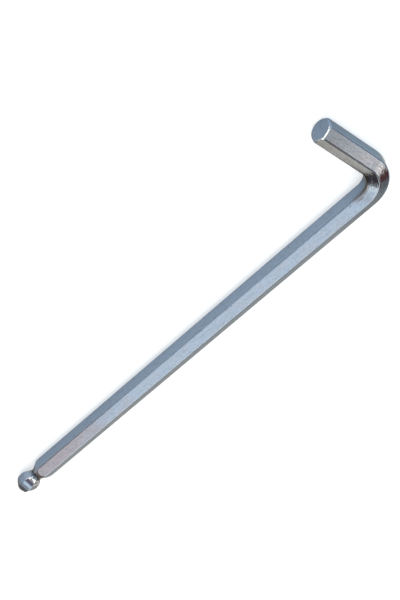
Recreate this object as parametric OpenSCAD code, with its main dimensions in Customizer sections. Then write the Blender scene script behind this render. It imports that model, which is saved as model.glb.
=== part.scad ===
// Ball-end hex key: one bar of hexagonal steel, bent once at a right angle.
// It lies on its side with the bend in the horizontal plane, two corners of the bar up and down.
// The long arm runs towards -X and ends in a hexagonal ball on a turned neck.
// The short arm runs towards +Y and ends in a flat face with a turned bevel.

/* [Bar] */
// Width of the bar across its flats
across_flats = 8; // [6:0.1:12]
// Radius of the six long corners of the bar
corner_radius = 0.77; // [0.3:0.01:1.2]

/* [Arms] */
// Long arm, from the outer flat of the short arm to the tip of the ball
long_arm = 210; // [90:0.5:300]
// Short arm, from the outer flat of the long arm to its end face
short_arm = 38.5; // [28:0.5:80]
// Radius of the inner flat round the bend
inner_bend_radius = 6.5; // [2:0.5:12]

/* [Short arm end] */
// How far the bevel cuts in at the corners of the bar
end_bevel = 0.75; // [0.1:0.05:1.2]
// Angle of the bevel, measured from the end face
end_bevel_angle = 45; // [30:1:60]

/* [Ball] */
// How much narrower the ball is than the bar across the flats, so that it can tilt in a socket
ball_undersize = 0.2; // [0.1:0.05:0.8]
// How far the corners of the ball are turned down
ball_corner_land = 0.1; // [0.05:0.01:0.3]
// Distance from the widest section of the ball to its tip
ball_nose = 5; // [4:0.1:7]
// Width across the flats of the hexagon at the tip
tip_flats = 3.8; // [2:0.1:4.5]
// How far the 45 degree bevel turned round the tip cuts into its hexagon
tip_bevel = 0.2; // [0.1:0.05:0.6]

/* [Neck] */
// Distance from the widest section of the ball to the narrowest section of the neck
neck_reach = 5.8; // [5:0.1:8]
// Depth of the neck below the flats of the bar
neck_depth = 1.5; // [0.8:0.05:1.8]
// Radius of the round groove that forms the neck
neck_groove_radius = 1.8; // [1.2:0.1:3]
// Half angle of the turned run-out from the bar down to the neck
runout_angle = 22; // [15:1:35]

/* [Hidden] */
$fn = 96;
// How far a hidden end reaches past the surface that it meets
lap = 1;
// Half widths of the bar across its flats and across its rounded corners
flat_r = across_flats / 2;
corner_centre_r = (flat_r - corner_radius) / cos(30);
corner_r = corner_centre_r + corner_radius;
// Half width of every turned cutter, clear of the bar all round
cutter_r = corner_r + lap;
// Centre line of the bend
bend_r = inner_bend_radius + flat_r;
// Where the centre lines of the arms would meet, with the origin under the middle of the key
elbow = [long_arm / 2 - flat_r, flat_r - short_arm / 2, corner_r];
// Places along each arm, measured from the elbow
end_at = short_arm - flat_r;
tip_at = long_arm - flat_r;
ball_at = tip_at - ball_nose;
neck_at = ball_at - neck_reach;
// Half widths of the ball across its flats and across its turned corners
ball_flat_r = flat_r - ball_undersize / 2;
ball_corner_r = ball_flat_r / cos(30) - ball_corner_land;
// Lengthwise arc of the ball's flats, from the widest section to the edge of the tip
ball_drop = ball_flat_r - tip_flats / 2;
ball_arc_r = (ball_nose * ball_nose + ball_drop * ball_drop) / (2 * ball_drop);
// Neck at its narrowest, and the stem into which its groove is turned
neck_r = flat_r - neck_depth;
groove_depth = neck_groove_radius / 8;
stem_r = neck_r + groove_depth;

// Turns a solid that stands on the elbow, one corner of its section towards +Y, onto the long arm
module on_long_arm() {
    translate(elbow) rotate([90, 0, -90]) children();
}

// The same for the short arm
module on_short_arm() {
    translate(elbow) rotate([90, 0, 180]) children();
}

// Section of the bar: flats left and right, corners up and down, each corner rounded
module bar_section() {
    corners = [for (k = [0 : 5]) 90 + 60 * k];
    polygon([
        for (c = corners, side = [-30, 30])
            corner_centre_r * [cos(c), sin(c)] + corner_radius * [cos(c + side), sin(c + side)]
    ]);
    for (c = corners) translate(corner_centre_r * [cos(c), sin(c)]) circle(r = corner_radius);
}

// The bar from one distance to another
module bar(from, to) {
    translate([0, 0, from]) linear_extrude(height = to - from) bar_section();
}

// The bar round the bend, its flats and corners following the centre line
module bend() {
    translate(elbow + [-bend_r, bend_r, 0]) rotate([0, 0, -90])
        rotate_extrude(angle = 90) translate([bend_r, 0]) bar_section();
}

// A turned solid from a cut above the bend up to its end, drawn as points [radius, distance]
module turned(points) {
    rotate_extrude() polygon(concat([[0, bend_r - lap], [cutter_r, bend_r - lap]], points));
}

// Short arm, with a bevel turned round its end face
module short_arm_bar() {
    face_r = corner_r - end_bevel;
    intersection() {
        bar(bend_r, end_at);
        turned([
            [cutter_r, end_at - (cutter_r - face_r) * tan(end_bevel_angle)],
            [face_r, end_at],
            [0, end_at],
        ]);
    }
}

// Long arm, with its corners run out by turning down to the neck
module long_arm_bar() {
    intersection() {
        bar(bend_r, neck_at);
        turned([
            [cutter_r, neck_at - (cutter_r - neck_r) / tan(runout_angle)],
            [neck_r, neck_at],
            [0, neck_at],
        ]);
    }
}

// Stem between the long arm and the ball, with the neck's groove turned into it
module neck() {
    rotate_extrude() difference() {
        translate([0, neck_at - lap]) square([stem_r, neck_reach + lap]);
        translate([neck_r + neck_groove_radius, neck_at]) circle(r = neck_groove_radius);
    }
}

// Lengthwise outline of the ball at a given half width: two arcs, cut square at the tip
module ball_outline(half_width) {
    intersection() {
        intersection_for (side = [-1, 1])
            translate([side * (ball_flat_r - ball_arc_r), 0]) circle(r = ball_arc_r + half_width - ball_flat_r);
        translate([-ball_arc_r, -ball_arc_r]) square([2 * ball_arc_r, ball_arc_r + ball_nose]);
    }
}

// Hexagonal ball: three pairs of curved flats, the corners between them turned down to narrow lands
// and the tip to a round face
module ball() {
    depth = 2 * ball_arc_r;
    tip_r = tip_flats / 2 - tip_bevel;
    translate([0, 0, ball_at]) intersection() {
        intersection_for (k = [0 : 2]) rotate([90, 0, 60 * k])
            translate([0, 0, -depth / 2]) linear_extrude(height = depth) ball_outline(ball_flat_r);
        rotate_extrude() intersection() {
            ball_outline(ball_corner_r);
            polygon([
                [0, -ball_arc_r],
                [cutter_r, -ball_arc_r],
                [cutter_r, ball_nose - (cutter_r - tip_r)],
                [tip_r, ball_nose],
                [0, ball_nose],
            ]);
        }
    }
}

// The whole key in one piece
module hex_key() {
    color([0.62, 0.65, 0.69]) union() {
        bend();
        on_short_arm() short_arm_bar();
        on_long_arm() {
            long_arm_bar();
            neck();
            ball();
        }
    }
}

hex_key();
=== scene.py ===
"""Looks of the ball-end hex key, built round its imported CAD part."""

import logging
import math
from dataclasses import dataclass
from enum import Enum
from typing import Any, Callable, Iterator, Sequence

import bmesh
import bpy
from mathutils import Matrix, Vector


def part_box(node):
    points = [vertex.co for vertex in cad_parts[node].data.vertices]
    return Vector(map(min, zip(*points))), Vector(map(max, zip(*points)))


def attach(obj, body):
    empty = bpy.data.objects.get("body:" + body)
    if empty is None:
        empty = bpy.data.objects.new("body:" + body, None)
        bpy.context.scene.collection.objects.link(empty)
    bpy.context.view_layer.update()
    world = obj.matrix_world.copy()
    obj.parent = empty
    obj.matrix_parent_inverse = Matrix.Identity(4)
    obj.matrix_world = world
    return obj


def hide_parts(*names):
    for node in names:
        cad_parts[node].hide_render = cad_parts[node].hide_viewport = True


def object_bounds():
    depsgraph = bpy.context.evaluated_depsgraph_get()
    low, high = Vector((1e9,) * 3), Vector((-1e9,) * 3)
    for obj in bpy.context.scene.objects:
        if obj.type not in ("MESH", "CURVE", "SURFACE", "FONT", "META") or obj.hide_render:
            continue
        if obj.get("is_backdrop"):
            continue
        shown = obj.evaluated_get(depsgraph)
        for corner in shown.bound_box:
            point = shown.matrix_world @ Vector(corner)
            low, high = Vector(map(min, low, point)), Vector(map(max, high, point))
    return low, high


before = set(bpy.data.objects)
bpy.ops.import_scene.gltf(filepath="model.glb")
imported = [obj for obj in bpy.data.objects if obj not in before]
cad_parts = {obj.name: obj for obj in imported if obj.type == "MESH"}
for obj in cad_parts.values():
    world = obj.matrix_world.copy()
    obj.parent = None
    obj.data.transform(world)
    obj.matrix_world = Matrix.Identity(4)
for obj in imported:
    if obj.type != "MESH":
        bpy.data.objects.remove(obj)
cad_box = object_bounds()

MM = 0.001
PLACE = "bar_place"
SIXTH = math.radians(60)
TWELFTH = math.radians(30)

Colour = tuple[float, float, float]
Span = tuple[float, float]
RadiusAt = Callable[[float], float]
Layer = tuple["Wave", Colour]

log = logging.getLogger("hex_key")


def smooth_min(a: float, b: float, width: float) -> float:
    """The smaller of two numbers, with the change from one to the other rounded off.

    Args:
        a: One number.
        b: The other number.
        width: How close the numbers are where the rounding starts.

    Returns:
        The rounded minimum, which is never above the plain one.
    """
    near = max(width - abs(a - b), 0.0) / width
    return min(a, b) - near * near * width / 4


def smooth_max(a: float, b: float, width: float) -> float:
    """The larger of two numbers, rounded off in the same way."""
    return -smooth_min(-a, -b, width)


def steps(start: float, end: float, count: int) -> list[float]:
    """Evenly spaced values after start, up to and including end."""
    return [start + (end - start) * (i + 1) / count for i in range(count)]


def direction(azimuth: float, elevation: float) -> Vector:
    """The direction of a place in the surroundings.

    Args:
        azimuth: Degrees round from +X towards +Y.
        elevation: Degrees above the floor.

    Returns:
        The vector of length one.
    """
    around, above = math.radians(azimuth), math.radians(elevation)
    level = math.cos(above)
    return Vector((math.cos(around) * level, math.sin(around) * level, math.sin(above)))


class Wave:
    """A shader socket on which Python's operators add Math nodes."""

    def __init__(self, shader: "Shader", socket: bpy.types.NodeSocket) -> None:
        """Wraps an output socket of a shader."""
        self.shader = shader
        self.socket = socket

    def _math(self, operation: str, *operands: "Wave | float") -> "Wave":
        """One Math node over the operands, in their order."""
        made = self.shader.node(
            "ShaderNodeMath", {"operation": operation}, {i: value for i, value in enumerate(operands)}
        )
        return Wave(self.shader, made.outputs[0])

    def __add__(self, other: "Wave | float") -> "Wave":
        """Sum."""
        return self._math("ADD", self, other)

    def __radd__(self, other: float) -> "Wave":
        """Sum with a number on the left."""
        return self._math("ADD", other, self)

    def __sub__(self, other: "Wave | float") -> "Wave":
        """Difference."""
        return self._math("SUBTRACT", self, other)

    def __rsub__(self, other: float) -> "Wave":
        """Difference from a number on the left."""
        return self._math("SUBTRACT", other, self)

    def __mul__(self, other: "Wave | float") -> "Wave":
        """Product."""
        return self._math("MULTIPLY", self, other)

    def __rmul__(self, other: float) -> "Wave":
        """Product with a number on the left."""
        return self._math("MULTIPLY", other, self)

    def ramp(self, low: float, high: float) -> "Wave":
        """A smooth step from 0 at low to 1 at high.

        Args:
            low: Value at which the step starts; above high for a falling step.
            high: Value at which the step has ended.

        Returns:
            The step as a new socket.
        """
        falls = low > high
        made = self.shader.node(
            "ShaderNodeMapRange",
            {"interpolation_type": "SMOOTHSTEP"},
            {"Value": self, "From Min": min(low, high), "From Max": max(low, high)},
        )
        step = Wave(self.shader, made.outputs[0])
        return 1 - step if falls else step


class Shader:
    """A node tree that is filled by method calls."""

    def __init__(self, tree: bpy.types.NodeTree) -> None:
        """Takes over a node tree and empties it."""
        self.tree = tree
        tree.nodes.clear()

    def node(
        self,
        kind: str,
        settings: dict[str, Any] | None = None,
        inputs: dict[str | int, Any] | None = None,
    ) -> bpy.types.Node:
        """Adds one node.

        Args:
            kind: The node's type.
            settings: Its own settings, set before any socket. The key "stops" fills a colour ramp.
            inputs: What each input socket holds: a number, a colour, a vector, a socket or a Wave.

        Returns:
            The new node.
        """
        made = self.tree.nodes.new(kind)
        for key, value in (settings or {}).items():
            if key == "stops":
                self._fill_ramp(made.color_ramp, value)
            else:
                setattr(made, key, value)
        for key, value in (inputs or {}).items():
            source = value.socket if isinstance(value, Wave) else value
            if isinstance(source, bpy.types.NodeSocket):
                self.tree.links.new(source, made.inputs[key])
            else:
                made.inputs[key].default_value = source
        return made

    @staticmethod
    def _fill_ramp(ramp: bpy.types.ColorRamp, stops: Sequence[tuple[float, Colour]]) -> None:
        """Gives a ramp its stops.

        Args:
            ramp: The colour ramp of a node.
            stops: Each stop's place from 0 to 1 and its colour.
        """
        while len(ramp.elements) < len(stops):
            ramp.elements.new(1.0)
        for element, (place, colour) in zip(ramp.elements, stops):
            element.position = place
            element.color = (*colour, 1.0)

    def wave(self, socket: bpy.types.NodeSocket) -> Wave:
        """Wraps a number socket for arithmetic."""
        return Wave(self, socket)

    def vector_math(self, operation: str, a: Any, b: Any, output: str = "Vector") -> bpy.types.NodeSocket:
        """One Vector Math node over two vectors."""
        return self.node("ShaderNodeVectorMath", {"operation": operation}, {0: a, 1: b}).outputs[output]

    def dot(self, a: Any, b: Any) -> Wave:
        """Dot product of two vectors."""
        return self.wave(self.vector_math("DOT_PRODUCT", a, b, "Value"))

    def noise(self, place: Any, detail: float, roughness: float) -> Wave:
        """Noise with cells one unit wide.

        Args:
            place: The vector that is read, already scaled.
            detail: Number of finer layers.
            roughness: How strong each finer layer is.

        Returns:
            Values from 0 to 1 round a middle of 0.5.
        """
        inputs = {"Vector": place, "Scale": 1.0, "Detail": detail, "Roughness": roughness}
        return self.wave(self.node("ShaderNodeTexNoise", {}, inputs).outputs[0])

    def blend(self, mask: Wave, a: Any, b: Any) -> bpy.types.NodeSocket:
        """Mixes two colours.

        Args:
            mask: Share of the second colour, from 0 to 1.
            a: First colour.
            b: Second colour.

        Returns:
            The mixed colour's socket.
        """
        made = self.node("ShaderNodeMix", {"data_type": "RGBA", "blend_type": "MIX"}, {0: mask})
        for name, value in (("A_Color", a), ("B_Color", b)):
            socket = next(s for s in made.inputs if s.identifier == name)
            if isinstance(value, bpy.types.NodeSocket):
                self.tree.links.new(value, socket)
            else:
                socket.default_value = (*value, 1.0)
        return next(s for s in made.outputs if s.identifier == "Result_Color")


def new_material(name: str) -> tuple[bpy.types.Material, Shader]:
    """Starts a material.

    Args:
        name: Name of the material.

    Returns:
        The material, and the shader that fills it.
    """
    made = bpy.data.materials.new(name)
    made.use_nodes = True
    return made, Shader(made.node_tree)


def new_object(name: str, bm: bmesh.types.BMesh, material: bpy.types.Material) -> bpy.types.Object:
    """Turns a finished bmesh into an object of the scene.

    Args:
        name: Name of the object and its mesh.
        bm: The shape, which is freed.
        material: Its only material.

    Returns:
        The new object.
    """
    mesh = bpy.data.meshes.new(name)
    bm.to_mesh(mesh)
    bm.free()
    mesh.materials.append(material)
    made = bpy.data.objects.new(name, mesh)
    bpy.context.scene.collection.objects.link(made)
    return made


@dataclass(frozen=True)
class Band:
    """A stretch on which a mark fades in and out again, by its four places in rising order."""

    begins: float
    full: float
    fades: float
    ends: float

    def on(self, place: Wave) -> Wave:
        """1 on the stretch, 0 away from it."""
        return place.ramp(self.begins, self.full) * place.ramp(self.ends, self.fades)


@dataclass(frozen=True)
class BarPlaces:
    """Where the marks lie on the straightened bar, in millimetres.

    Places along the bar count from the end of the short arm. Places across it are outwards from its
    middle, away from the inside of the bend, or upwards from its middle. A span fades its mark in
    from its first place to its second.
    """

    # Along the bar
    cut_end: Span = (0.12, 0.0)
    end_edge: Band = Band(0.03, 0.12, 0.36, 0.60)
    end_inner_half: Span = (9.0, 2.0)
    end_painted_shade: Span = (22.0, 0.0)
    end_grain: Span = (30.0, 18.0)
    short_arm: Span = (40.0, 20.0)
    outer_flat_painted_reflection: Span = (34.0, 24.0)
    bend: Band = Band(22.0, 28.0, 38.0, 50.0)
    bend_ripples: Band = Band(22.0, 27.0, 40.0, 46.0)
    bend_inner_edge: Band = Band(21.0, 26.0, 38.0, 47.0)
    bend_foot: Band = Band(35.0, 39.0, 41.0, 45.0)
    bend_outside: Band = Band(31.0, 36.0, 42.0, 58.0)
    far_painted_shade: Span = (120.0, 215.0)
    flush_starts: Span = (160.0, 206.0)
    flush_wanders: float = 40.0
    flush_stops: Span = (225.0, 223.0)
    polish: Span = (220.0, 226.0)
    neck: Band = Band(220.5, 224.4, 225.7, 226.5)
    ball_outer_side: Span = (225.8, 227.5)
    shoulder_starts: Span = (226.0, 226.6)
    shoulder_stops: Span = (228.5, 227.3)
    shoulder_longer_outside: float = 1.1
    ball_widest: Band = Band(230.3, 230.7, 231.4, 231.8)
    tip: Span = (231.9, 232.5)
    matt_tip: Span = (232.0, 233.4)

    # Across the bar
    inner_flat: Span = (-3.3, -3.8)
    outer_flat: Span = (3.3, 3.8)
    outer_half: Span = (-1.0, 0.5)
    upper_inner_flat: Span = (0.0, -0.5)
    above_inner_flat: Span = (1.9, 2.5)
    foot_towards_inside: Span = (-0.4, -3.2)
    foot_above: Span = (1.6, 2.2)
    inner_edge: Band = Band(1.1, 1.9, 2.4, 3.1)
    inner_edge_towards_inside: Span = (-2.2, -3.2)
    outside: Span = (0.3, 1.2)
    outer_side: Span = (0.8, 1.8)
    shoulder_outside: Span = (-0.6, 0.8)
    shoulder_above: Span = (1.4, 2.0)
    end_edge_across: Band = Band(-3.0, -1.4, 3.2, 3.7)
    end_edge_above: Span = (1.0, 1.8)


class BarSurface:
    """The bar's surface as sockets: its three directions in millimetres, its patterns and its parts."""

    def __init__(self, shader: Shader, places: BarPlaces) -> None:
        """Adds the nodes that all the marks share.

        Args:
            shader: The shader of the steel.
            places: Where the marks lie.
        """
        self.shader = shader
        self.places = places
        place = shader.node("ShaderNodeAttribute", {"attribute_name": PLACE}).outputs["Vector"]
        self.in_mm = shader.vector_math("SCALE", place, (0, 0, 0))
        self.in_mm.node.inputs["Scale"].default_value = 1 / MM
        parts = shader.node("ShaderNodeSeparateXYZ", {}, {0: self.in_mm}).outputs
        self.along, self.outward, self.up = (shader.wave(part) for part in parts)

        self.grain = self.pattern((0.09, 3.2, 3.2), 3.0, 0.6)
        self.streak = self.pattern((0.22, 1.1, 1.1), 2.0, 0.5)
        self.mottle = self.pattern((0.75, 2.5, 2.5), 2.0, 0.6)
        self.cloud = self.pattern((0.12, 0.3, 0.3), 2.0, 0.5)
        self.speck = self.pattern((1.1, 1.4, 1.4), 1.0, 0.5)
        self.ripple = self.pattern((0.40, 1.0, 1.0), 2.0, 0.6)

        self.outer_half = self.outward.ramp(*places.outer_half)
        self.inner_flat = self.outward.ramp(*places.inner_flat)
        self.outer_flat = self.outward.ramp(*places.outer_flat) * self.along.ramp(*places.outer_flat_painted_reflection)
        self.upper_inner_flat = (
            self.outward.ramp(*places.upper_inner_flat) * self.up.ramp(*places.above_inner_flat)
        )
        self.cut_end = self.along.ramp(*places.cut_end)
        self.inner_bend = self.inner_flat * places.bend.on(self.along)
        self.outer_bend = places.bend_outside.on(self.along) * self.outward.ramp(*places.outside)
        wandering = self.along + (self.cloud - 0.5) * places.flush_wanders
        near_neck = wandering.ramp(*places.flush_starts) * self.along.ramp(*places.flush_stops)
        self.flush = near_neck * self.upper_inner_flat

    def pattern(self, cells: tuple[float, float, float], detail: float, roughness: float) -> Wave:
        """Noise that follows the bar.

        Args:
            cells: How many cells there are to a millimetre, along the bar, outwards and upwards.
            detail: Number of finer layers.
            roughness: How strong each finer layer is.

        Returns:
            Values from 0 to 1 round a middle of 0.5.
        """
        return self.shader.noise(self.shader.vector_math("MULTIPLY", self.in_mm, cells), detail, roughness)


@dataclass(frozen=True)
class BrightPlatedSteel:
    """Bright plating over drawn steel: streaked on the short arm, stained in the bend, with painted shade,
    painted reflections and painted highlights.
    """

    colour: Colour = (0.24, 0.297, 0.375)
    warm: Colour = (0.27, 0.295, 0.345)
    blush: Colour = (0.245, 0.230, 0.260)
    deep: Colour = (0.075, 0.085, 0.10)
    painted_reflection_blue: Colour = (0.225, 0.32, 0.44)
    shade: Colour = (0.204, 0.262, 0.342)
    painted_highlight: Colour = (0.78, 0.78, 0.76)
    soil: Colour = (0.085, 0.07, 0.06)
    edge_tint: tuple[float, float, float, float] = (0.53, 0.50, 0.44, 1.0)
    roughness: float = 0.13
    grain_roughness: float = 0.10
    cloud_roughness: float = 0.06
    polish: float = 0.08
    tip_roughness: float = 0.10
    ball_side_roughness: float = 0.38
    grain_strength: float = 0.35
    grain_depth: float = 0.004 * MM
    ripple_depth: float = 0.12 * MM
    places: BarPlaces = BarPlaces()

    def plating(self, bar: BarSurface) -> Iterator[Layer]:
        """The plating: warmer in clouds and flushed towards the neck, with painted shade that makes the inner
        flat darker and bluer.

        Args:
            bar: The surface of the bar.

        Yields:
            Each layer's mask and colour, the lowest first.
        """
        yield bar.cloud.ramp(0.35, 0.7) * 0.5, self.warm
        # Painted shade: the whole inner flat darker and bluer
        yield bar.inner_flat, self.shade
        yield bar.flush, self.blush

    def blotches(self, bar: BarSurface) -> Wave:
        """Dark blotches and draw lines, stronger on the short arm and where the plating is flushed.

        Args:
            bar: The surface of the bar.

        Returns:
            How strong they are.
        """
        on_short_arm = bar.along.ramp(*self.places.short_arm) * (bar.outer_half * 0.10 + 0.07)
        mottling = on_short_arm + 0.17 + bar.inner_flat * 0.09 + bar.flush * 0.11
        lining = bar.along.ramp(*self.places.end_grain) * 0.09 + 0.07
        return bar.mottle.ramp(0.40, 0.68) * mottling + bar.grain.ramp(0.46, 0.72) * lining

    def painted_shade(self, bar: BarSurface) -> Wave:
        """Painted shade: darker towards the end of the short arm and on its end face, and on the inner flat
        in the bend and far from it.

        Args:
            bar: The surface of the bar.

        Returns:
            How dark the painted shade makes each place.
        """
        towards_end = bar.along.ramp(*self.places.end_painted_shade)
        all_round = towards_end * (bar.outer_half * 0.24 + 0.05 - bar.outer_flat * 0.13)
        inner_half = bar.along.ramp(*self.places.end_inner_half) * (1 - bar.outer_half) * 0.18
        far = bar.inner_flat * bar.along.ramp(*self.places.far_painted_shade) * 0.10
        return all_round + inner_half + bar.cut_end * 0.16 + far + bar.inner_bend * 0.36

    def stains_and_painted_light(self, bar: BarSurface) -> Iterator[Layer]:
        """Blotches, a painted blue reflection on the flats that face outwards or into the bend and on the end
        face, painted shade, and streaks.

        Args:
            bar: The surface of the bar.

        Yields:
            Each layer's mask and colour, the lowest first.
        """
        # Painted reflection: bluer on the short arm's outer flat and end face, and on both sides of the bend
        painted_reflection = bar.outer_flat * 0.9 + bar.cut_end * 0.6 + bar.inner_bend * 0.4 + bar.outer_bend * 0.35
        yield self.blotches(bar), self.deep
        yield painted_reflection, self.painted_reflection_blue
        # Painted shade: darker towards the short arm's end, and on the inner flat in the bend and towards the
        # ball
        yield self.painted_shade(bar), self.deep
        yield bar.streak.ramp(0.55, 0.8) * 0.25, self.deep

    def bend_soil_and_painted_shade(self, bar: BarSurface) -> Iterator[Layer]:
        """Smudges at the foot of the bend and along its inner edge, and painted shade on its outside.

        Args:
            bar: The surface of the bar.

        Yields:
            Each layer's mask and colour, the lowest first.
        """
        places = self.places
        foot = places.bend_foot.on(bar.along) * bar.outward.ramp(*places.foot_towards_inside)
        smudges = foot * bar.up.ramp(*places.foot_above) * bar.streak.ramp(0.30, 0.66)
        edge = places.inner_edge.on(bar.up) * bar.outward.ramp(*places.inner_edge_towards_inside)
        yield smudges * 0.7, self.soil
        yield edge * places.bend_inner_edge.on(bar.along) * (bar.streak * 0.8 + 0.4), self.soil
        # Painted shade on the outside of the bend
        yield bar.outer_bend * 0.52, self.deep

    def pits_and_painted_light(self, bar: BarSurface) -> Iterator[Layer]:
        """Painted shade in the neck and on the ball's tip and widest part, painted glints round the back of
        the ball, the pits, and a painted highlight on the bevel's edge.

        Args:
            bar: The surface of the bar.

        Yields:
            Each layer's mask and colour, the lowest first.
        """
        places = self.places
        longer = bar.outward.ramp(*places.shoulder_outside) * places.shoulder_longer_outside
        shoulder = bar.along.ramp(*places.shoulder_starts) * (bar.along - longer).ramp(*places.shoulder_stops)
        widest = places.ball_widest.on(bar.along) * bar.upper_inner_flat
        end_edge = places.end_edge.on(bar.along) * places.end_edge_across.on(bar.outward)
        # Painted shade in the groove of the neck
        yield places.neck.on(bar.along) * 0.68, self.deep
        # Painted glints: a light band round the shoulder at the back of the ball
        yield shoulder * bar.up.ramp(*places.shoulder_above) * 0.62, self.painted_highlight
        # Painted shade on the ball's tip and in a stripe across its widest part
        yield bar.along.ramp(*places.tip) * 0.45 + widest * 0.8, self.deep
        yield bar.speck.ramp(0.69, 0.77) * 0.7, self.deep
        # Painted highlight: a light line on the edge of the bevel
        yield end_edge * bar.up.ramp(*places.end_edge_above) * 0.8, self.painted_highlight

    def surface_roughness(self, bar: BarSurface) -> Wave:
        """Roughness: uneven with the grain, less from the neck on, more on the ball's tip and outside.

        Args:
            bar: The surface of the bar.

        Returns:
            The roughness of each place.
        """
        places = self.places
        uneven = (bar.grain - 0.5) * self.grain_roughness + (bar.cloud - 0.5) * self.cloud_roughness
        ball_side = bar.along.ramp(*places.ball_outer_side) * bar.outward.ramp(*places.outer_side)
        matt = bar.along.ramp(*places.matt_tip) * self.tip_roughness + ball_side * self.ball_side_roughness
        return self.roughness + uneven - bar.along.ramp(*places.polish) * self.polish + matt

    def relief(self, bar: BarSurface) -> bpy.types.NodeSocket:
        """Normals: fine draw lines along the bar, and low waves round the bend.

        Args:
            bar: The surface of the bar.

        Returns:
            The socket of the normals.
        """
        grain = bar.shader.node(
            "ShaderNodeBump",
            {},
            {"Strength": self.grain_strength, "Distance": self.grain_depth, "Height": bar.grain},
        )
        waves = bar.shader.node(
            "ShaderNodeBump",
            {},
            {
                "Strength": 1.0,
                "Distance": self.ripple_depth,
                "Height": bar.ripple * self.places.bend_ripples.on(bar.along),
                "Normal": grain.outputs["Normal"],
            },
        )
        return waves.outputs["Normal"]

    def build(self) -> bpy.types.Material:
        """Makes the material.

        Returns:
            The finished material.
        """
        made, shader = new_material("bright_plated_steel")
        bar = BarSurface(shader, self.places)
        colour: Any = self.colour
        for layers in (self.plating, self.stains_and_painted_light, self.bend_soil_and_painted_shade, self.pits_and_painted_light):
            for mask, over in layers(bar):
                colour = shader.blend(mask, colour, over)
        surface = shader.node(
            "ShaderNodeBsdfPrincipled",
            {},
            {
                "Base Color": colour,
                "Metallic": 1.0,
                "Specular Tint": self.edge_tint,
                "Roughness": self.surface_roughness(bar),
                "Normal": self.relief(bar),
            },
        )
        shader.node("ShaderNodeOutputMaterial", {}, {"Surface": surface.outputs[0]})
        return made


class Stretch(Enum):
    """The two straight stretches of the bar."""

    SHORT_ARM = "short arm"
    LONG_ARM = "long arm"


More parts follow.
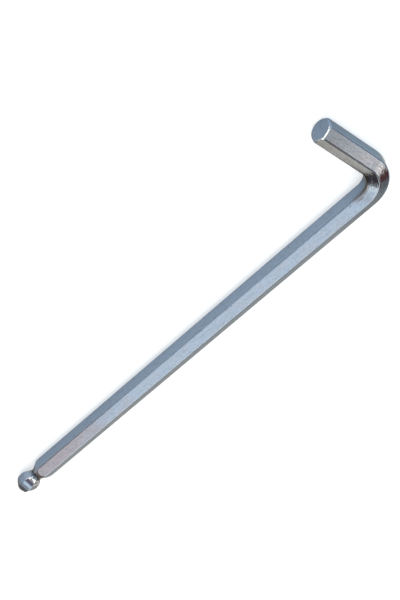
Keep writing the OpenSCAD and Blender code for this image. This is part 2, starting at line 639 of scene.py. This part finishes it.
@dataclass
class HexKey:
    """The key: one hexagonal bar, bent once, with a bevelled end and a ball on a turned neck."""

    long_arm: float
    short_arm: float
    corner_r: float
    corner_radius: float = 0.77 * MM
    inner_bend_radius: float = 6.5 * MM
    end_bevel: float = 0.75 * MM
    ball_undersize: float = 0.2 * MM
    ball_corner_land: float = 0.1 * MM
    ball_nose: float = 5.0 * MM
    tip_flats: float = 3.8 * MM
    tip_bevel: float = 0.2 * MM
    neck_reach: float = 5.8 * MM
    neck_depth: float = 1.5 * MM
    neck_groove_radius: float = 1.8 * MM
    runout_angle: float = math.radians(22)
    edge_rounding: float = 0.22 * MM
    crease: float = 0.06 * MM
    ball_fillet: float = 0.24 * MM
    corner_points: int = 9
    flat_shares: tuple[float, ...] = (-0.95, -0.8, -0.6, -0.4, -0.2, 0.0, 0.2, 0.4, 0.6, 0.8, 0.95)
    face_shares: tuple[float, ...] = (0.35, 0.6, 0.8, 0.94)
    tip_shares: tuple[float, ...] = (0.95, 0.8, 0.5, 0.2)
    first_disc_share: float = 0.125
    rounding_steps: int = 5
    bevel_steps: int = 8
    short_arm_steps: int = 10
    bend_steps: int = 36
    plain_from: float = 1.0 * MM
    ring_margin: float = 0.3 * MM
    arc_limit: float = 0.95
    ball_back_share: float = 0.84

    def __post_init__(self) -> None:
        """Works out what follows from the sizes above."""
        self.corner_centre_r = self.corner_r - self.corner_radius
        self.flat_r = self.corner_radius + self.corner_centre_r * math.cos(TWELFTH)
        self.bend_r = self.inner_bend_radius + self.flat_r
        self.elbow = Vector(
            (self.long_arm / 2 - self.flat_r, self.flat_r - self.short_arm / 2, self.corner_r)
        )
        self.bend_centre = self.elbow + Vector((-self.bend_r, self.bend_r, 0))
        self.end_at = self.short_arm - self.flat_r
        self.tip_at = self.long_arm - self.flat_r
        self.ball_at = self.tip_at - self.ball_nose
        self.neck_at = self.ball_at - self.neck_reach
        self.face_r = self.corner_r - self.end_bevel
        self.ball_flat_r = self.flat_r - self.ball_undersize / 2
        self.ball_corner_r = self.ball_flat_r / math.cos(TWELFTH) - self.ball_corner_land
        ball_drop = self.ball_flat_r - self.tip_flats / 2
        self.ball_arc_r = (self.ball_nose**2 + ball_drop**2) / (2 * ball_drop)
        self.tip_r = self.tip_flats / 2 - self.tip_bevel
        self.neck_r = self.flat_r - self.neck_depth
        groove_depth = self.neck_groove_radius / 8
        self.stem_r = self.neck_r + groove_depth

    def ring_angles(self) -> list[float]:
        """Polar angles of a ring's points: close together round the corners, wider apart on the flats.

        Returns:
            The angles in rising order, from 0 to a full turn.
        """
        half_flat = self.corner_centre_r * math.sin(TWELFTH)
        on_flat = [math.atan(half_flat * share / self.flat_r) for share in self.flat_shares]
        turns = [TWELFTH * (2 * i / (self.corner_points - 1) - 1) for i in range(self.corner_points)]
        on_corner = [self.corner_angle(turn) for turn in turns]
        return sorted(
            (middle + offset) % math.tau
            for side in range(6)
            for middle, offsets in ((side * SIXTH, on_flat), (side * SIXTH + TWELFTH, on_corner))
            for offset in offsets
        )

    def corner_angle(self, turn: float) -> float:
        """Polar angle, from a corner of the bar, of the place reached by a turn round its rounding."""
        return math.atan2(
            self.corner_radius * math.sin(turn),
            self.corner_centre_r + self.corner_radius * math.cos(turn),
        )

    def bar_radius(self, angle: float) -> float:
        """How far the bar's outline is from its middle.

        Args:
            angle: Polar angle in the section, from the outer flat upwards.

        Returns:
            The radius there.
        """
        from_corner = abs((angle % SIXTH) - TWELFTH)
        if from_corner >= self.corner_angle(TWELFTH):
            return self.flat_r / math.cos(TWELFTH - from_corner)
        across = self.corner_centre_r * math.sin(from_corner)
        past_centre = math.sqrt(self.corner_radius**2 - across**2)
        return self.corner_centre_r * math.cos(from_corner) + past_centre

    def end_radius(self, angle: float, depth: float) -> float:
        """The bar's outline under the bevel of the short arm, at a depth below its end face."""
        return smooth_min(self.bar_radius(angle), self.face_r + depth, self.crease)

    def ball_radius(self, angle: float, along: float) -> float:
        """The outline of the long arm, its run-out, the neck and the ball.

        Args:
            angle: Polar angle in the section, from the outer flat upwards.
            along: Distance from the elbow.

        Returns:
            The radius there.
        """
        if along <= self.neck_at:
            cone = self.neck_r + (self.neck_at - along) * math.tan(self.runout_angle)
            return smooth_min(self.bar_radius(angle), cone, self.crease)
        past_neck = along - self.neck_at
        groove = self.stem_r
        if past_neck < self.neck_groove_radius:
            arc = self.neck_groove_radius - math.sqrt(self.neck_groove_radius**2 - past_neck**2)
            groove = min(self.stem_r, self.neck_r + arc)
        offset = along - self.ball_at
        if abs(offset) > self.ball_arc_r * self.arc_limit:
            return groove
        from_flat = abs(((angle + TWELFTH) % SIXTH) - TWELFTH)
        sunk = self.ball_arc_r - self.ball_flat_r
        flat = (math.sqrt(self.ball_arc_r**2 - offset**2) - sunk) / math.cos(from_flat)
        land = math.sqrt((self.ball_arc_r + self.ball_corner_r - self.ball_flat_r) ** 2 - offset**2) - sunk
        ball = smooth_min(flat, land, self.crease)
        bevelled = smooth_min(ball, self.tip_r + self.ball_nose - offset, self.crease)
        return smooth_max(groove, bevelled, self.ball_fillet) if offset < 0 else bevelled

    def place(self, stretch: Stretch, along: float, angle: float, radius: float) -> Vector:
        """A point on one of the arms.

        Args:
            stretch: The arm.
            along: Distance from the elbow.
            angle: Polar angle in the section, from the outer flat upwards.
            radius: Distance from the middle of the section.

        Returns:
            The point in the row frame.
        """
        outwards, up = radius * math.cos(angle), radius * math.sin(angle)
        if stretch is Stretch.SHORT_ARM:
            return self.elbow + Vector((outwards, along, up))
        return self.elbow + Vector((-along, -outwards, up))

    def polar_angle(self, stretch: Stretch, point: Vector) -> float:
        """The polar angle of a point on one of the arms.

        Args:
            stretch: The arm.
            point: The point in the row frame.

        Returns:
            The angle, from the outer flat upwards.
        """
        offset = point - self.elbow
        outwards = offset.x if stretch is Stretch.SHORT_ARM else -offset.y
        return math.atan2(offset.z, outwards)

    def straightened(self, point: Vector) -> Vector:
        """Where a point of the key would be on the straight bar, before it was bent.

        Args:
            point: The point in the row frame.

        Returns:
            Distance from the short arm's end, then the two directions of the section.
        """
        offset = point - self.elbow
        bend_length = self.bend_r * math.pi / 2
        straight = self.end_at - self.bend_r
        if offset.y > self.bend_r:
            return Vector((self.end_at - offset.y, offset.x, offset.z))
        if -offset.x > self.bend_r:
            return Vector((straight + bend_length - offset.x - self.bend_r, -offset.y, offset.z))
        spoke = point - self.bend_centre
        turned = math.atan2(-spoke.y, spoke.x)
        return Vector((straight + self.bend_r * turned, math.hypot(spoke.x, spoke.y) - self.bend_r, offset.z))

    def draw_on(
        self,
        bm: bmesh.types.BMesh,
        rim: list[bmesh.types.BMEdge],
        stretch: Stretch,
        along: float,
        radius_at: RadiusAt,
    ) -> list[bmesh.types.BMEdge]:
        """Extrudes the bar by one ring.

        Args:
            bm: The mesh.
            rim: The edges of the last ring.
            stretch: The arm that is being drawn.
            along: Distance of the new ring from the elbow.
            radius_at: Its radius at each polar angle.

        Returns:
            The edges of the new ring.
        """
        made = bmesh.ops.extrude_edge_only(bm, edges=rim)["geom"]
        for vert in made:
            if isinstance(vert, bmesh.types.BMVert):
                angle = self.polar_angle(stretch, vert.co)
                vert.co = self.place(stretch, along, angle, radius_at(angle))
        return [edge for edge in made if isinstance(edge, bmesh.types.BMEdge) and edge.is_boundary]

    def first_ring(self, bm: bmesh.types.BMesh) -> list[bmesh.types.BMEdge]:
        """The small disc in the middle of the short arm's end face, from which the bar is drawn.

        Args:
            bm: The mesh.

        Returns:
            The edges round the disc.
        """
        angles = self.ring_angles()
        small = self.face_r * self.first_disc_share
        verts = bmesh.ops.create_circle(
            bm, cap_ends=True, cap_tris=True, segments=len(angles), radius=small
        )["verts"]
        for vert in verts:
            if vert.co.length < small / 2:
                vert.co = self.elbow + Vector((0, self.end_at, 0))
                continue
            turn = math.atan2(vert.co.y, vert.co.x) / math.tau
            angle = angles[round(turn * len(angles)) % len(angles)]
            vert.co = self.place(Stretch.SHORT_ARM, self.end_at, angle, small)
        return [edge for edge in bm.edges if edge.is_boundary]

    def short_arm_rings(self) -> Iterator[tuple[float, RadiusAt]]:
        """The rings of the short arm, from its end face down to the bend.

        Yields:
            Each ring's distance from the elbow, and its radius at a polar angle.
        """
        rounding = self.edge_rounding
        for share in self.face_shares:
            yield self.end_at, lambda angle, s=share: s * (self.end_radius(angle, 0) - rounding)
        for turn in (0.0, *steps(0, math.pi / 2, self.rounding_steps)):
            depth, cut = rounding * (1 - math.cos(turn)), rounding * (1 - math.sin(turn))
            yield self.end_at - depth, lambda angle, d=depth, c=cut: self.end_radius(angle, d) - c
        for depth in steps(rounding, self.end_bevel + 2 * self.crease, self.bevel_steps):
            yield self.end_at - depth, lambda angle, d=depth: self.end_radius(angle, d)
        for along in steps(self.end_at - self.plain_from, self.bend_r, self.short_arm_steps):
            yield along, self.bar_radius

    def long_arm_rings(self) -> Iterator[tuple[float, RadiusAt]]:
        """The rings of the long arm, from the bend to the tip of the ball.

        Yields:
            Each ring's distance from the elbow, and its radius at a polar angle.
        """
        runout = self.neck_at - (self.corner_r - self.neck_r) / math.tan(self.runout_angle)
        flats_end = self.neck_at - (self.flat_r - self.neck_r) / math.tan(self.runout_angle)
        stem = self.neck_at + self.neck_groove_radius / 2
        ball_back = self.ball_at - self.ball_back_share * self.ball_nose
        # From where, to where, and by how many rings
        stretches = (
            (self.bend_r, runout - self.ring_margin, 36),
            (runout - self.ring_margin, flats_end + self.ring_margin, 24),
            (flats_end + self.ring_margin, self.neck_at, 16),
            (self.neck_at, stem, 12),
            (stem, ball_back, 3),
            (ball_back, self.tip_at, 80),
        )
        for start, end, count in stretches:
            for along in steps(start, end, count):
                yield along, lambda angle, at=along: self.ball_radius(angle, at)
        for share in self.tip_shares:
            yield self.tip_at, lambda angle, s=share: s * self.ball_radius(angle, self.tip_at)

    def build(self, steel: bpy.types.Material) -> None:
        """Makes the key as one closed mesh that rides on the root body.

        Args:
            steel: Its finish.
        """
        bm = bmesh.new()
        rim = self.first_ring(bm)
        for along, radius_at in self.short_arm_rings():
            rim = self.draw_on(bm, rim, Stretch.SHORT_ARM, along, radius_at)
        ring = [vert for edge in rim for vert in edge.verts]
        turned = bmesh.ops.spin(
            bm,
            geom=rim + list(dict.fromkeys(ring)),
            cent=self.bend_centre,
            axis=(0, 0, -1),
            angle=math.pi / 2,
            steps=self.bend_steps,
            use_duplicate=False,
        )["geom_last"]
        rim = [edge for edge in turned if isinstance(edge, bmesh.types.BMEdge)]
        for along, radius_at in self.long_arm_rings():
            rim = self.draw_on(bm, rim, Stretch.LONG_ARM, along, radius_at)
        bmesh.ops.edgeloop_fill(bm, edges=rim)
        bmesh.ops.recalc_face_normals(bm, faces=bm.faces)
        straight = bm.verts.layers.float_vector.new(PLACE)
        for vert in bm.verts:
            vert[straight] = self.straightened(vert.co)
        for face in bm.faces:
            face.smooth = True
        key = new_object("hex_key_body", bm, steel)
        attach(key, "root")
        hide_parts("hex_key")
        log.info("hex key: %d faces", len(key.data.polygons))


@dataclass(frozen=True)
class Glow:
    """A soft round patch of the sky, brighter or darker than what is round it.

    It is full up to core degrees from its middle and gone at edge degrees.
    """

    azimuth: float
    elevation: float
    core: float
    edge: float
    colour: Colour


@dataclass(frozen=True)
class Tilt:
    """How the sky and the cards lean together: by how many degrees, and towards where."""

    angle: float = 7.0
    towards: float = -75.0


@dataclass(frozen=True)
class Cards:
    """A ring of cards low round the key, which only the metal mirrors.

    They are dark, with a red stretch towards +X, a grey part below it, a pale gap and a paler end
    towards +Y. Spans are in metres from the middle, rightwards along X and inwards along Y. The grey
    part lies under a slant, where X plus so many times the height stays below its span. The span of
    the pale gap is the cosine of the angle from its middle.
    """

    colour: Colour = (0.12, 0.09, 0.08)
    red: Colour = (0.25, 0.075, 0.07)
    grey: Colour = (0.42, 0.42, 0.42)
    pale: Colour = (0.86, 0.80, 0.74)
    side: Colour = (0.60, 0.50, 0.46)
    red_rightwards: Span = (-0.6, 0.3)
    grey_rightwards: Span = (-0.95, -0.6)
    grey_slant: float = 1.3
    grey_under: Span = (1.0, 0.62)
    pale_towards: float = -121.0
    pale_within: Span = (0.955, 0.985)
    side_inwards: Span = (-0.28, 0.02)
    distance: float = 2.0
    azimuths: Span = (155.0, 325.0)
    elevations: Span = (11.0, 31.0)
    steps: int = 96
    tilt: Tilt = Tilt()

    def shape(self) -> bmesh.types.BMesh:
        """Spins the ring out of one upright edge and leans it over.

        Returns:
            The ring, open above and below.
        """
        bm = bmesh.new()
        first, last = self.azimuths
        foot = direction(first, 0)
        heights = [math.radians(elevation) for elevation in self.elevations]
        points = [foot * math.cos(height) + Vector((0, 0, math.sin(height))) for height in heights]
        upright = [bm.verts.new(point * self.distance) for point in points]
        bmesh.ops.spin(
            bm,
            geom=[*upright, bm.edges.new(upright)],
            cent=(0, 0, 0),
            axis=(0, 0, 1),
            angle=math.radians(last - first),
            steps=self.steps,
        )
        hinge = direction(self.tilt.towards + 90, 0)
        leaning = Matrix.Rotation(math.radians(self.tilt.angle), 4, hinge)
        bmesh.ops.transform(bm, matrix=leaning, verts=bm.verts)
        return bm

    def paint(self) -> bpy.types.Material:
        """Makes the paint, which changes round the ring.

        Returns:
            The finished paint.
        """
        made, shader = new_material("dark_card")
        place = shader.node("ShaderNodeTexCoord").outputs["Object"]
        rightwards = shader.dot(place, (1, 0, 0))
        inwards = shader.dot(place, (0, 1, 0))
        upwards = shader.dot(place, (0, 0, 1))
        level = shader.vector_math("NORMALIZE", shader.vector_math("MULTIPLY", place, (1, 1, 0)), (0, 0, 0))
        to_gap = shader.dot(level, direction(self.pale_towards, 0))
        low = (rightwards + upwards * self.grey_slant).ramp(*self.grey_under)
        layers = (
            (rightwards.ramp(*self.red_rightwards), self.red),
            (low * rightwards.ramp(*self.grey_rightwards), self.grey),
            (to_gap.ramp(*self.pale_within), self.pale),
            (inwards.ramp(*self.side_inwards), self.side),
        )
        colour: Any = self.colour
        for mask, over in layers:
            colour = shader.blend(mask, colour, over)
        surface = shader.node("ShaderNodeBsdfDiffuse", {}, {"Color": colour})
        shader.node("ShaderNodeOutputMaterial", {}, {"Surface": surface.outputs[0]})
        return made

    def build(self) -> None:
        """Makes the ring."""
        cards = new_object("dark_cards", self.shape(), self.paint())
        cards.visible_camera = False
        cards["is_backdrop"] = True


@dataclass(frozen=True)
class Floor:
    """The pale floor on which the key lies."""

    colour: Colour = (0.60, 0.61, 0.61)
    glow: Colour = (0.42, 0.43, 0.44)
    roughness: float = 0.9
    reach: float = 6.0

    def paint(self) -> bpy.types.Material:
        """Makes the paint: the glow shows to the camera and in mirrors, and lights nothing.

        Returns:
            The finished paint.
        """
        made, shader = new_material("pale_floor")
        path = shader.node("ShaderNodeLightPath").outputs
        mirrored = shader.wave(path["Is Glossy Ray"]) + shader.wave(path["Is Transmission Ray"])
        seen = shader.wave(path["Is Camera Ray"]) + mirrored
        surface = shader.node(
            "ShaderNodeBsdfPrincipled",
            {},
            {
                "Base Color": (*self.colour, 1),
                "Roughness": self.roughness,
                "Specular IOR Level": 0.0,
                "Emission Color": shader.blend(seen, (0, 0, 0), self.glow),
                "Emission Strength": 1.0,
            },
        )
        shader.node("ShaderNodeOutputMaterial", {}, {"Surface": surface.outputs[0]})
        return made

    def build(self) -> None:
        """Makes the floor."""
        bm = bmesh.new()
        bmesh.ops.create_grid(bm, x_segments=1, y_segments=1, size=self.reach)
        floor = new_object("floor", bm, self.paint())
        floor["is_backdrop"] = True


@dataclass(frozen=True)
class Sky:
    """The soft light: rows of brightness by height, warmer on one side, with soft patches on them.

    Each patch is named for what mirrors it. Later patches lie over earlier ones.
    """

    warm_side: Colour = (1.20, 1.00, 0.80)
    cool_side: Colour = (0.80, 1.00, 1.20)
    cool_towards: float = 45.0
    tilt: Tilt = Tilt()
    rows: tuple[tuple[float, Colour], ...] = (
        (0, (0.70, 0.70, 0.70)),
        (45, (0.52, 0.52, 0.52)),
        (90, (0.52, 0.52, 0.52)),
    )
    glows: tuple[Glow, ...] = (
        # Outer side of the short arm, with the edge between its flats
        Glow(0, 30, 24, 36, (1.65, 2.00, 2.35)),
        # Bevel of the short arm: soft round it, bright on it
        Glow(72, 36, 22, 34, (1.75, 1.80, 1.80)),
        Glow(75, 33, 8, 16, (5.20, 5.00, 4.70)),
        # Straight above, for the ball, the neck and the top of the bend
        Glow(0, 88, 13, 22, (1.70, 1.80, 1.90)),
        # Shoulder of the ball
        Glow(125, 36, 6, 12, (2.20, 2.20, 2.20)),
        # Upper inner flat of the long arm, with the white patch inside the bend
        Glow(160, 52, 12, 17, (1.84, 1.85, 1.82)),
        Glow(178, 41, 4, 9, (2.60, 2.45, 2.20)),
        Glow(138, 62, 8, 12, (1.84, 1.85, 1.82)),
        # Dark window on the ball, and the light beside it
        Glow(74, 66, 8, 12, (0.36, 0.31, 0.36)),
        Glow(30, 56, 7, 11, (2.9, 2.7, 2.5)),
        # Upper outer flat of the short arm
        Glow(-46, 46, 8, 13, (1.13, 1.11, 1.07)),
        # Highlight where that flat enters the bend
        Glow(-67, 41, 4, 10, (2.10, 1.85, 1.68)),
        Glow(-64, 33, 7, 14, (2.50, 2.05, 1.70)),
        Glow(-72, 36, 4, 9, (3.60, 3.05, 2.60)),
        # Light line along the top corner in the bend
        Glow(-158, 60, 13, 17, (2.4, 2.25, 2.0)),
        Glow(-157, 46, 5, 9, (2.8, 2.65, 2.4)),
        Glow(-144, 37, 4, 8, (2.6, 2.5, 2.3)),
        Glow(-118, 56, 5, 10, (2.2, 2.1, 2.0)),
        # Outer part of the bevel
        Glow(61, 14, 6, 11, (4.2, 3.9, 3.6)),
        # Dark line between the flats in the bend
        Glow(-112, 42, 9, 15, (0.40, 0.34, 0.30)),
        # Dark inner part of the bevel
        Glow(163, 5, 4, 8, (0.12, 0.10, 0.10)),
        # Warm light on the upper inner flat of the short arm
        Glow(-133, 3, 10, 20, (1.92, 1.60, 1.26)),
    )

    def build(self) -> None:
        """Makes the sky."""
        world = bpy.data.worlds.new("soft_sky")
        world.use_nodes = True
        bpy.context.scene.world = world
        shader = Shader(world.node_tree)
        look = shader.node("ShaderNodeTexCoord").outputs["Generated"]
        height = shader.dot(look, direction(self.tilt.towards, 90 - self.tilt.angle))
        stops = [(math.sin(math.radians(row)), colour) for row, colour in self.rows]
        rows = shader.node("ShaderNodeValToRGB", {"stops": stops}, {0: height}).outputs["Color"]
        across = shader.dot(look, direction(self.cool_towards, 0))
        sides = shader.blend(across * 0.5 + 0.5, self.warm_side, self.cool_side)
        sky = shader.vector_math("MULTIPLY", rows, sides)
        for glow in self.glows:
            near = shader.dot(look, direction(glow.azimuth, glow.elevation))
            mask = near.ramp(math.cos(math.radians(glow.edge)), math.cos(math.radians(glow.core)))
            sky = shader.blend(mask, sky, glow.colour)
        light = shader.node("ShaderNodeBackground", {}, {"Color": sky, "Strength": 1.0})
        shader.node("ShaderNodeOutputWorld", {}, {"Surface": light.outputs[0]})


@dataclass(frozen=True)
class Studio:
    """Everything round the key: floor, cards and sky."""

    floor: Floor = Floor()
    cards: Cards = Cards()
    sky: Sky = Sky()

    def build(self) -> None:
        """Makes the whole studio."""
        self.floor.build()
        self.cards.build()
        self.sky.build()
        log.info("studio: floor, dark cards and sky")


@dataclass(frozen=True)
class Viewpoint:
    """The camera of the photograph, placed from the elbow of the key."""

    from_elbow: Vector = Vector((122.717, 265.650, 286.213)) * MM
    forward: Vector = Vector((-0.46975449, -0.58380871, -0.6621919))
    right: Vector = Vector((0.66622993, -0.72658566, 0.16796119))
    focal_px: float = 1202.9
    image_height_px: float = 600.0
    sensor: float = 36.0
    nearest: float = 0.01

    def build(self, elbow: Vector) -> None:
        """Makes the camera.

        Args:
            elbow: Where the middle lines of the arms meet, in the row frame.
        """
        lens = bpy.data.cameras.new("camera")
        lens.sensor_width = self.sensor
        lens.lens = self.focal_px / self.image_height_px * self.sensor
        lens.clip_start = self.nearest
        camera = bpy.data.objects.new("camera", lens)
        back = -self.forward
        up = back.cross(self.right)
        turn = Matrix((self.right, up, back)).transposed().to_4x4()
        camera.matrix_world = Matrix.Translation(elbow + self.from_elbow) @ turn
        bpy.context.scene.collection.objects.link(camera)
        bpy.context.scene.camera = camera
        log.info("camera: lens %.1f mm", lens.lens)


def main() -> None:
    """Builds the key, the studio and the camera."""
    logging.basicConfig(level=logging.INFO, format="%(name)s: %(message)s")
    low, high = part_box("hex_key")
    key = HexKey(long_arm=high.x - low.x, short_arm=high.y - low.y, corner_r=(high.z - low.z) / 2)
    key.build(BrightPlatedSteel().build())
    Studio().build()
    Viewpoint().build(key.elbow)
    bpy.context.scene.view_settings.view_transform = "Standard"
    sizes = {"cad": cad_box, "visual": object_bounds()}
    {name: [list(corner) for corner in box] for name, box in sizes.items()}


if __name__ == "__main__":
    main()
